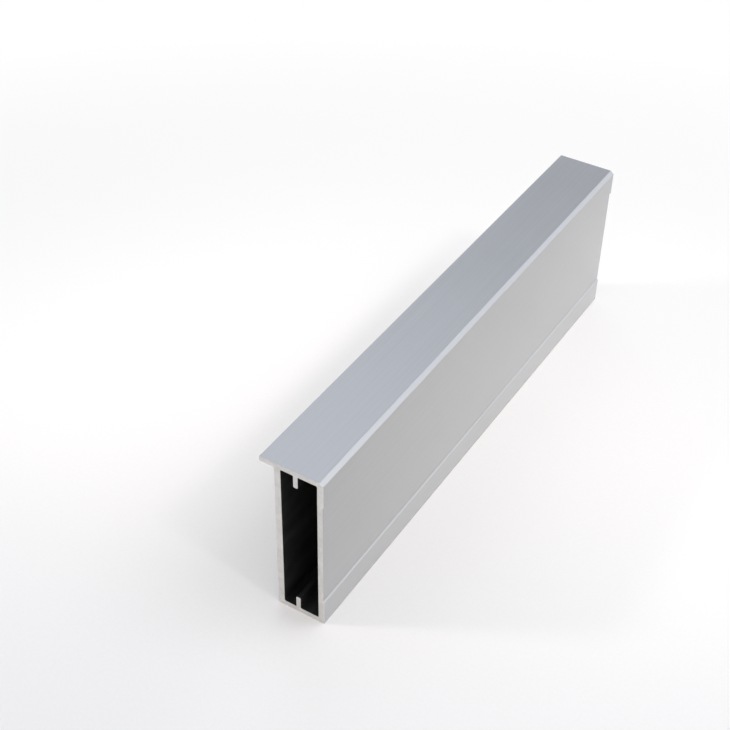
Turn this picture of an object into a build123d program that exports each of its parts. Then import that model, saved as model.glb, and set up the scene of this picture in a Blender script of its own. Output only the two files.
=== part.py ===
from build123d import *
import os

# Aluminium extrusion profile: one length of stock, pressed through a hollow die and sawn square at both ends.
# The section is a tall narrow box. Its top wall runs on past the left wall as a lip, its top right edge is
# bevelled, its right face steps back between an upper band and a foot, and a short rib stands in from the top
# wall and from the bottom wall.
# X runs across the section, Y along the length and Z up. The origin is the middle of the underside's box.

# Overall sizes
profile_length = 200.0
profile_height = 60.0
body_width = 17.0
lip_length = 5.2

# Wall thicknesses, the right wall's where its face is stepped back
top_wall = 1.85
bottom_wall = 1.85
left_wall = 2.2
right_wall = 1.75

# The stepped-back right face between the upper band and the foot, and the height of its two sloped steps
recess_depth = 0.42
step_rise = 0.6
band_height = 9.4
foot_height = 9.55

# Inner ribs, and their clear distance from the left wall
rib_thickness = 1.6
rib_height = 4.55
rib_distance = 4.4

# The bevel along the top right edge, across the top and down the side
bevel_width = 1.3
bevel_drop = 1.05

# The edge break where the sawn ends were deburred
end_break = 0.12

# Corner radii, those of the thin steps and tips as shares of the thickness that carries them
edge_radius = 0.3
cavity_radius = 0.5
step_radius_share = 0.4
lip_radius_share = 0.25
rib_tip_radius_share = 0.28

# Places across the section
band_face = (body_width + lip_length) / 2
lip_tip = -band_face
recess_face = band_face - recess_depth
bevel_top = band_face - bevel_width
wall_face = lip_tip + lip_length
cavity_left = wall_face + left_wall
cavity_right = recess_face - right_wall
rib_left = cavity_left + rib_distance
rib_right = rib_left + rib_thickness

# Places up the section
recess_bottom = foot_height + step_rise
band_bottom = profile_height - band_height
recess_top = band_bottom - step_rise
bevel_bottom = profile_height - bevel_drop
lip_underside = profile_height - top_wall
cavity_floor = bottom_wall
cavity_ceiling = lip_underside
lower_rib_tip = cavity_floor + rib_height
upper_rib_tip = cavity_ceiling - rib_height

# Radii worked out from the shares
step_radius = recess_depth * step_radius_share
lip_radius = top_wall * lip_radius_share
rib_tip_radius = rib_thickness * rib_tip_radius_share

# The outer outline, anticlockwise from the foot's left corner, each corner with its radius
outer_corners = [
    ((wall_face, 0), edge_radius),
    ((band_face, 0), edge_radius),
    ((band_face, foot_height), step_radius),
    ((recess_face, recess_bottom), step_radius),
    ((recess_face, recess_top), step_radius),
    ((band_face, band_bottom), step_radius),
    ((band_face, bevel_bottom), edge_radius),
    ((bevel_top, profile_height), edge_radius),
    ((lip_tip, profile_height), lip_radius),
    ((lip_tip, lip_underside), lip_radius),
    ((wall_face, lip_underside), edge_radius),
]

# The hollow's outline, anticlockwise from its lower left corner, round both ribs
cavity_corners = [
    ((cavity_left, cavity_floor), cavity_radius),
    ((rib_left, cavity_floor), edge_radius),
    ((rib_left, lower_rib_tip), rib_tip_radius),
    ((rib_right, lower_rib_tip), rib_tip_radius),
    ((rib_right, cavity_floor), edge_radius),
    ((cavity_right, cavity_floor), cavity_radius),
    ((cavity_right, cavity_ceiling), cavity_radius),
    ((rib_right, cavity_ceiling), edge_radius),
    ((rib_right, upper_rib_tip), rib_tip_radius),
    ((rib_left, upper_rib_tip), rib_tip_radius),
    ((rib_left, cavity_ceiling), edge_radius),
    ((cavity_left, cavity_ceiling), cavity_radius),
]

# The extruded profile, with its section drawn at the back end and its length running to the front
with BuildPart() as extrusion_profile:
    with BuildSketch(Plane.XZ.offset(-profile_length / 2)) as section:
        with BuildLine() as outer_outline:
            outer_points, outer_radii = zip(*outer_corners)
            FilletPolyline(*outer_points, radius=outer_radii, close=True)
        make_face()
        with BuildLine() as cavity_outline:
            cavity_points, cavity_radii = zip(*cavity_corners)
            FilletPolyline(*cavity_points, radius=cavity_radii, close=True)
        make_face(mode=Mode.SUBTRACT)
    extrude(amount=profile_length)
    sawn_ends = extrusion_profile.faces().filter_by(Axis.Y)
    chamfer(sawn_ends.edges(), length=end_break)

extrusion_profile.part.label = "extrusion_profile"
os.makedirs("parts", exist_ok=True)
export_step(extrusion_profile.part, "parts/extrusion_profile.step")
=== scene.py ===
import math

import bpy
from mathutils import Matrix, Vector


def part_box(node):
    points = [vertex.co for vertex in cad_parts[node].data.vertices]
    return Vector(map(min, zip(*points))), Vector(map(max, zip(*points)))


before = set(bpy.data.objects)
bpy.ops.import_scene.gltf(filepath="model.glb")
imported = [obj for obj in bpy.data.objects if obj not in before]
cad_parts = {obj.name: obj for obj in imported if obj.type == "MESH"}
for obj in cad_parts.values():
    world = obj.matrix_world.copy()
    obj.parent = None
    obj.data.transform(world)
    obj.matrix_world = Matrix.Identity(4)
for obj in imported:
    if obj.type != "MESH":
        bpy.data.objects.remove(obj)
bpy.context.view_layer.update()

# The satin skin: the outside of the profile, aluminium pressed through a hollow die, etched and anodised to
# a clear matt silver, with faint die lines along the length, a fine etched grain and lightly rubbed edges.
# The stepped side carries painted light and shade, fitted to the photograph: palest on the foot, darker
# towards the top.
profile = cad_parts["extrusion_profile"]
profile.data.materials.clear()
low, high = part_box("extrusion_profile")

# Sizes of the section that the finish follows
lip_length = 0.0052
lip_thickness = 0.00185
bevel_width = 0.0013
bevel_drop = 0.00105
foot_height = 0.00955
step_rise = 0.0006
foot_top = low.z + foot_height
ledge_top = foot_top + step_rise
long_edges = [
    (low.x, high.z),
    (low.x, high.z - lip_thickness),
    (high.x - bevel_width, high.z),
    (high.x, high.z - bevel_drop),
    (high.x, low.z),
    (low.x + lip_length, low.z),
]

# Colour and gloss, from the darkest to the lightest tone, under the clear oxide
skin_dark = (0.399, 0.404, 0.41, 1.0)
skin_light = (0.445, 0.45, 0.456, 1.0)
skin_roughness = (0.35, 0.415)
oxide_weight = 1.0
oxide_roughness = 0.25
oxide_index = 1.6

# Clouds, die lines and etch grain, with their pitch across, along and up, and their share of the tone
cloud_pitch = (0.03, 0.045, 0.03)
cloud_detail = 3.0
cloud_share = 0.25
die_line_pitch = (0.00045, 0.12, 0.00045)
die_line_detail = 4.0
die_line_share = 0.45
die_line_depth = 0.0000015
etch_grain_pitch = (0.00012, 0.00012, 0.00012)
etch_grain_detail = 2.0
etch_grain_share = 0.3
etch_grain_depth = 0.000002
tone_range = (0.38, 0.62)

# Painted light and shade on the stepped side: on the foot, from the ledge to the top, on faces turned this
# far right
painted_foot_light = 1.09
painted_side_gradient = (1.05, 0.87)
painted_side_turn = (0.85, 0.95)

# The rubbed edges, full within the core and gone at the reach, in patches
rubbed_edge_colour = (0.452, 0.457, 0.463, 1.0)
rubbed_roughness = 0.35
rub_core = 0.00009
rub_reach = 0.0003
rub_patch_pitch = (0.004, 0.012, 0.004)
rub_patch_detail = 3.0
rub_patch_range = (0.4, 0.65)
least_rub = 0.15


def metal(name):
    """A plain metal material, with its node tree and its shader."""
    material = bpy.data.materials.new(name)
    material.use_nodes = True
    tree = material.node_tree
    shader = tree.nodes["Principled BSDF"]
    shader.inputs["Metallic"].default_value = 1.0
    return material, tree, shader


def pattern(tree, pitch, detail):
    """Soft noise in the object's own frame, with a pitch in metres along X, Y and Z."""
    place = tree.nodes.new("ShaderNodeTexCoord")
    stretch = tree.nodes.new("ShaderNodeMapping")
    stretch.inputs["Scale"].default_value = [1.0 / step for step in pitch]
    noise = tree.nodes.new("ShaderNodeTexNoise")
    noise.inputs["Scale"].default_value = 1.0
    noise.inputs["Detail"].default_value = detail
    tree.links.new(place.outputs["Object"], stretch.inputs["Vector"])
    tree.links.new(stretch.outputs["Vector"], noise.inputs["Vector"])
    return noise.outputs["Fac"]


def worked_out(tree, rule, first, second):
    """One sum of the node tree: two values, each a link or a number, joined by a rule."""
    node = tree.nodes.new("ShaderNodeMath")
    node.operation = rule
    for socket, value in zip(node.inputs, (first, second)):
        if isinstance(value, (int, float)):
            socket.default_value = value
        else:
            tree.links.new(value, socket)
    return node.outputs["Value"]


def spread(tree, source, start, end, first, last):
    """A value that goes from first to last while its source goes from start to end."""
    node = tree.nodes.new("ShaderNodeMapRange")
    tree.links.new(source, node.inputs["Value"])
    node.inputs["From Min"].default_value = start
    node.inputs["From Max"].default_value = end
    node.inputs["To Min"].default_value = first
    node.inputs["To Max"].default_value = last
    return node.outputs["Result"]


def shaded(tree, source, first, last):
    """A colour between two, each a link or a plain colour, by a value from nought to one."""
    node = tree.nodes.new("ShaderNodeMix")
    node.data_type = "RGBA"
    tree.links.new(source, node.inputs["Factor"])
    sockets = {socket.identifier: socket for socket in [*node.inputs, *node.outputs]}
    for name, colour in (("A_Color", first), ("B_Color", last)):
        if isinstance(colour, tuple):
            sockets[name].default_value = colour
        else:
            tree.links.new(colour, sockets[name])
    return sockets["Result_Color"]


def relief(tree, source, depth, before=None):
    """A bump of that depth in metres, laid over an earlier one where there is one."""
    node = tree.nodes.new("ShaderNodeBump")
    node.inputs["Distance"].default_value = depth
    tree.links.new(source, node.inputs["Height"])
    if before is not None:
        tree.links.new(before, node.inputs["Normal"])
    return node.outputs["Normal"]


def distance_in_section(tree, across, up):
    """The distance from a point of the section, measured square to the length."""
    place = tree.nodes.new("ShaderNodeTexCoord")
    flatten = tree.nodes.new("ShaderNodeVectorMath")
    flatten.operation = "MULTIPLY"
    flatten.inputs[1].default_value = (1.0, 0.0, 1.0)
    measure = tree.nodes.new("ShaderNodeVectorMath")
    measure.operation = "DISTANCE"
    measure.inputs[1].default_value = (across, 0.0, up)
    tree.links.new(place.outputs["Object"], flatten.inputs[0])
    tree.links.new(flatten.outputs["Vector"], measure.inputs[0])
    return measure.outputs["Value"]


# The skin's tone, from clouds, die lines and etch grain
satin_skin, tree, shader = metal("satin_anodised_skin")
cloud = pattern(tree, cloud_pitch, cloud_detail)
die_lines = pattern(tree, die_line_pitch, die_line_detail)
etch_grain = pattern(tree, etch_grain_pitch, etch_grain_detail)
skin_tone = worked_out(tree, "MULTIPLY", cloud, cloud_share)
skin_tone = worked_out(tree, "ADD", skin_tone, worked_out(tree, "MULTIPLY", die_lines, die_line_share))
skin_tone = worked_out(tree, "ADD", skin_tone, worked_out(tree, "MULTIPLY", etch_grain, etch_grain_share))
skin_tone = spread(tree, skin_tone, *tone_range, 0.0, 1.0)
skin_colour = shaded(tree, skin_tone, skin_dark, skin_light)

# Painted light and shade up the stepped side: lighter on the foot, darker towards the top
surface = tree.nodes.new("ShaderNodeTexCoord")
position = tree.nodes.new("ShaderNodeSeparateXYZ")
facing = tree.nodes.new("ShaderNodeSeparateXYZ")
tree.links.new(surface.outputs["Object"], position.inputs["Vector"])
tree.links.new(surface.outputs["Normal"], facing.inputs["Vector"])
painted_foot_factor = spread(tree, position.outputs["Z"], foot_top, ledge_top, painted_foot_light, 1.0)
painted_gradient_factor = spread(tree, position.outputs["Z"], ledge_top, high.z, *painted_side_gradient)
painted_side_change = worked_out(tree, "SUBTRACT", worked_out(tree, "MULTIPLY", painted_foot_factor, painted_gradient_factor), 1.0)
painted_side_mask = spread(tree, facing.outputs["X"], *painted_side_turn, 0.0, 1.0)
painted_side_factor = worked_out(tree, "ADD", worked_out(tree, "MULTIPLY", painted_side_change, painted_side_mask), 1.0)
painted_side_node = tree.nodes.new("ShaderNodeVectorMath")
painted_side_node.operation = "SCALE"
tree.links.new(skin_colour, painted_side_node.inputs["Vector"])
tree.links.new(painted_side_factor, painted_side_node.inputs["Scale"])
skin_colour = painted_side_node.outputs["Vector"]

# The rub along the long edges, brighter and a little smoother
edge_distance = distance_in_section(tree, *long_edges[0])
for edge in long_edges[1:]:
    edge_distance = worked_out(tree, "MINIMUM", edge_distance, distance_in_section(tree, *edge))
near_edge = spread(tree, edge_distance, rub_core, rub_reach, 1.0, 0.0)
rub_patches = pattern(tree, rub_patch_pitch, rub_patch_detail)
rub_patches = spread(tree, rub_patches, *rub_patch_range, least_rub, 1.0)
rubbed = worked_out(tree, "MULTIPLY", near_edge, rub_patches)
tree.links.new(shaded(tree, rubbed, skin_colour, rubbed_edge_colour), shader.inputs["Base Color"])
plain_roughness = spread(tree, skin_tone, 0.0, 1.0, *skin_roughness)
rub_change = worked_out(tree, "SUBTRACT", rubbed_roughness, plain_roughness)
rub_change = worked_out(tree, "MULTIPLY", rub_change, rubbed)
tree.links.new(worked_out(tree, "ADD", plain_roughness, rub_change), shader.inputs["Roughness"])

# The relief of grain and lines, and the clear oxide over it
grain_relief = relief(tree, etch_grain, etch_grain_depth)
tree.links.new(relief(tree, die_lines, die_line_depth, grain_relief), shader.inputs["Normal"])
shader.inputs["Coat Weight"].default_value = oxide_weight
shader.inputs["Coat Roughness"].default_value = oxide_roughness
shader.inputs["Coat IOR"].default_value = oxide_index
profile.data.materials.append(satin_skin)

# The sawn ends: bare aluminium, cut square by a circular saw after anodising and lightly deburred.
# The teeth leave shallow arcs about the blade's centre, which was well below the section and to its left,
# and smear the soft metal into paler and darker patches.
sawn_dark = (0.622, 0.607, 0.585, 1.0)
sawn_light = (0.765, 0.749, 0.723, 1.0)
sawn_roughness = (0.44, 0.54)
blade_centre = (-0.09, -0.13)
tooth_pitch = 0.00045
tooth_depth = 0.000003
arc_detail = 3.0
arc_share = 0.4
smear_pitch = (0.0026, 0.0026, 0.0026)
smear_detail = 3.0
smear_share = 0.6
cut_range = (0.3, 0.7)
sawn_end, tree, shader = metal("bare_sawn_end")
arc_noise = tree.nodes.new("ShaderNodeTexNoise")
arc_noise.noise_dimensions = "1D"
arc_noise.inputs["Scale"].default_value = 1.0
arc_noise.inputs["Detail"].default_value = arc_detail
blade_distance = distance_in_section(tree, *blade_centre)
tree.links.new(worked_out(tree, "DIVIDE", blade_distance, tooth_pitch), arc_noise.inputs["W"])
arcs = arc_noise.outputs["Fac"]
smears = pattern(tree, smear_pitch, smear_detail)
cut_tone = worked_out(tree, "MULTIPLY", smears, smear_share)
cut_tone = worked_out(tree, "ADD", cut_tone, worked_out(tree, "MULTIPLY", arcs, arc_share))
cut_tone = spread(tree, cut_tone, *cut_range, 0.0, 1.0)
tree.links.new(shaded(tree, cut_tone, sawn_dark, sawn_light), shader.inputs["Base Color"])
tree.links.new(spread(tree, arcs, *cut_range, *sawn_roughness), shader.inputs["Roughness"])
tree.links.new(relief(tree, arcs, tooth_depth), shader.inputs["Normal"])
profile.data.materials.append(sawn_end)

# The hollow: the inside of the walls and the two ribs, as the die left them, dull and with drag lines along
# the length. Its near-black colour is painted shade, far darker than the bare metal. Only the light that
# comes in at the sawn ends reaches it.
hollow_painted_shade_dark = (0.07, 0.069, 0.067, 1.0)
hollow_painted_shade_light = (0.105, 0.103, 0.1, 1.0)
hollow_roughness = (0.5, 0.62)
stain_pitch = (0.003, 0.02, 0.003)
stain_detail = 3.0
stain_range = (0.3, 0.7)
drag_line_detail = 3.0
drag_line_depth = 0.000003
painted_shade_hollow, tree, shader = metal("painted_shade_hollow")
stains = pattern(tree, stain_pitch, stain_detail)
stain_tone = spread(tree, stains, *stain_range, 0.0, 1.0)
tree.links.new(shaded(tree, stain_tone, hollow_painted_shade_dark, hollow_painted_shade_light), shader.inputs["Base Color"])
tree.links.new(spread(tree, stains, *stain_range, *hollow_roughness), shader.inputs["Roughness"])
drag_lines = pattern(tree, die_line_pitch, drag_line_detail)
tree.links.new(relief(tree, drag_lines, drag_line_depth), shader.inputs["Normal"])
profile.data.materials.append(painted_shade_hollow)

# Each face takes the finish of its place, and those of the hollow lie deeper than any of the skin
skin_slot, end_slot, hollow_slot = range(3)
end_turn = 0.5
hollow_depth = 0.0012
hollow_left = low.x + lip_length + hollow_depth
hollow_right = high.x - hollow_depth
hollow_bottom = low.z + hollow_depth
hollow_top = high.z - hollow_depth
for face in profile.data.polygons:
    within_sides = hollow_left < face.center.x < hollow_right
    within_height = hollow_bottom < face.center.z < hollow_top
    if abs(face.normal.y) > end_turn:
        face.material_index = end_slot
    elif within_sides and within_height:
        face.material_index = hollow_slot
    else:
        face.material_index = skin_slot

# The floor: a wide sheet of plain white paper that the profile stands on, with a faint tooth. Well behind
# the profile it fades to the plain white that the eye and the metal see there.
floor_half = 20.0
paper_dark = (0.868, 0.847, 0.816, 1.0)
paper_light = (0.884, 0.863, 0.832, 1.0)
paper_pitch = (0.001, 0.001, 0.001)
paper_detail = 2.0
paper_range = (0.3, 0.7)
paper_roughness = 0.9
paper_gloss = 0.1
table_front = (0.164, -0.329, 0.0)
white_start = 0.38
white_end = 0.68
floor_mesh = bpy.data.meshes.new("floor")
floor_corners = [
    (-floor_half, -floor_half, 0.0),
    (floor_half, -floor_half, 0.0),
    (floor_half, floor_half, 0.0),
    (-floor_half, floor_half, 0.0),
]
floor_mesh.from_pydata(floor_corners, [], [(0, 1, 2, 3)])
floor = bpy.data.objects.new("floor", floor_mesh)
bpy.context.scene.collection.objects.link(floor)
paper = bpy.data.materials.new("white_paper")
paper.use_nodes = True
tree = paper.node_tree
shader = tree.nodes["Principled BSDF"]
paper_tone = spread(tree, pattern(tree, paper_pitch, paper_detail), *paper_range, 0.0, 1.0)
tree.links.new(shaded(tree, paper_tone, paper_dark, paper_light), shader.inputs["Base Color"])
shader.inputs["Roughness"].default_value = paper_roughness
shader.inputs["Specular IOR Level"].default_value = paper_gloss

# The fade to white, by the distance from the table's front
table_place = tree.nodes.new("ShaderNodeTexCoord")
table_depth = tree.nodes.new("ShaderNodeVectorMath")
table_depth.operation = "DISTANCE"
table_depth.inputs[1].default_value = table_front
tree.links.new(table_place.outputs["Object"], table_depth.inputs[0])
far_white = spread(tree, table_depth.outputs["Value"], white_start, white_end, 0.0, 1.0)
ray = tree.nodes.new("ShaderNodeLightPath")
seen = worked_out(tree, "MAXIMUM", ray.outputs["Is Camera Ray"], ray.outputs["Is Glossy Ray"])
seen = worked_out(tree, "MAXIMUM", seen, ray.outputs["Is Transmission Ray"])
white = tree.nodes.new("ShaderNodeEmission")
fade = tree.nodes.new("ShaderNodeMixShader")
tree.links.new(worked_out(tree, "MULTIPLY", far_white, seen), fade.inputs["Fac"])
tree.links.new(shader.outputs["BSDF"], fade.inputs[1])
tree.links.new(white.outputs["Emission"], fade.inputs[2])
tree.links.new(fade.outputs["Shader"], tree.nodes["Material Output"].inputs["Surface"])
floor_mesh.materials.append(paper)

# The light: a pale room, white down at the table's height, with soft lamps round the table, cool from the
# left, warm from the front and nearly plain from the right and behind. Two spots with soft edges lift the
# table beside the profile, and leave no glint on the metal.
wall_white = (1.0, 1.0, 1.0, 1.0)
wall_rise = 0.25
room_colour = (0.6, 0.622, 0.678, 1.0)
cool_light = (0.96, 0.995, 1.085)
plain_light = (0.985, 0.99, 1.03)
warm_light = (1.05, 1.0, 0.95)
table_centre = (0.0, 0.0, 0.0)
spot_edge = 1.0
spot_softness = 0.1
room = bpy.data.worlds.new("pale_room")
room.use_nodes = True
tree = room.node_tree
room_direction = tree.nodes.new("ShaderNodeTexCoord")
room_height = tree.nodes.new("ShaderNodeSeparateXYZ")
tree.links.new(room_direction.outputs["Generated"], room_height.inputs["Vector"])
room_rise = spread(tree, room_height.outputs["Z"], 0.0, wall_rise, 0.0, 1.0)
tree.links.new(shaded(tree, room_rise, wall_white, room_colour), tree.nodes["Background"].inputs["Color"])
bpy.context.scene.world = room


def hang(lamp, place, aim):
    """Hang a lamp at a place, turn it to its aim and give back what holds it."""
    holder = bpy.data.objects.new(lamp.name, lamp)
    holder.location = place
    holder.rotation_euler = (Vector(aim) - Vector(place)).to_track_quat("-Z", "Y").to_euler()
    bpy.context.scene.collection.objects.link(holder)
    return holder


def soft_lamp(name, colour, place, width, height, watts):
    """A rectangular soft lamp that points at the middle of the table."""
    lamp = bpy.data.lights.new(name, "AREA")
    lamp.shape = "RECTANGLE"
    lamp.size = width
    lamp.size_y = height
    lamp.energy = watts
    lamp.color = colour
    hang(lamp, place, table_centre)


def table_spot(name, place, aim, angle, watts):
    """A warm round spot with a soft edge that lifts one patch of the table."""
    lamp = bpy.data.lights.new(name, "SPOT")
    lamp.spot_size = math.radians(angle)
    lamp.spot_blend = spot_edge
    lamp.shadow_soft_size = spot_softness
    lamp.energy = watts
    lamp.color = warm_light
    hang(lamp, place, aim).visible_glossy = False


soft_lamp("high_left_back_lamp", cool_light, place=(-0.6, 0.9, 1.4), width=0.8, height=0.8, watts=1.5)
soft_lamp("left_lamp", cool_light, place=(-1.2, 0.3, 0.7), width=1.6, height=1.1, watts=1.58)
soft_lamp("right_back_lamp", plain_light, place=(1.0, 0.9, 0.6), width=2.4, height=1.6, watts=8.6)
soft_lamp("high_right_lamp", plain_light, place=(0.7, 0.3, 1.2), width=0.8, height=0.8, watts=3.24)
soft_lamp("front_right_lamp", warm_light, place=(0.85, -0.95, 0.5), width=2.4, height=1.0, watts=5.6)
right_patch = (0.02, 0.042, 0.0)
left_patch = (-0.085, -0.015, 0.0)
table_spot("right_table_spot", place=(0.75, -0.15, 0.95), aim=right_patch, angle=14.5, watts=18.0)
table_spot("left_table_spot", place=(-0.8, -0.5, 0.6), aim=left_patch, angle=19.0, watts=19.0)

# The camera: it looks down on the near end from the right, at the photograph's height and angle, as fitted
# to the profile's straight edges. Colours are shown as they are.
camera_place = Vector((0.163704, -0.329251, 0.330363))
camera_aim = Vector((-0.026046, -0.017409, 0.03))
camera_roll = math.radians(0.973)
lens_length = 67.448
sensor_width = 36.0
nearest_seen = 0.01
camera_data = bpy.data.cameras.new("camera")
camera_data.lens = lens_length
camera_data.sensor_width = sensor_width
camera_data.clip_start = nearest_seen
camera = bpy.data.objects.new("camera", camera_data)
camera_turn = (camera_aim - camera_place).to_track_quat("-Z", "Y").to_matrix()
camera_turn = camera_turn @ Matrix.Rotation(camera_roll, 3, "Z")
camera.matrix_world = Matrix.Translation(camera_place) @ camera_turn.to_4x4()
bpy.context.scene.collection.objects.link(camera)
bpy.context.scene.camera = camera
bpy.context.scene.view_settings.view_transform = "Standard"
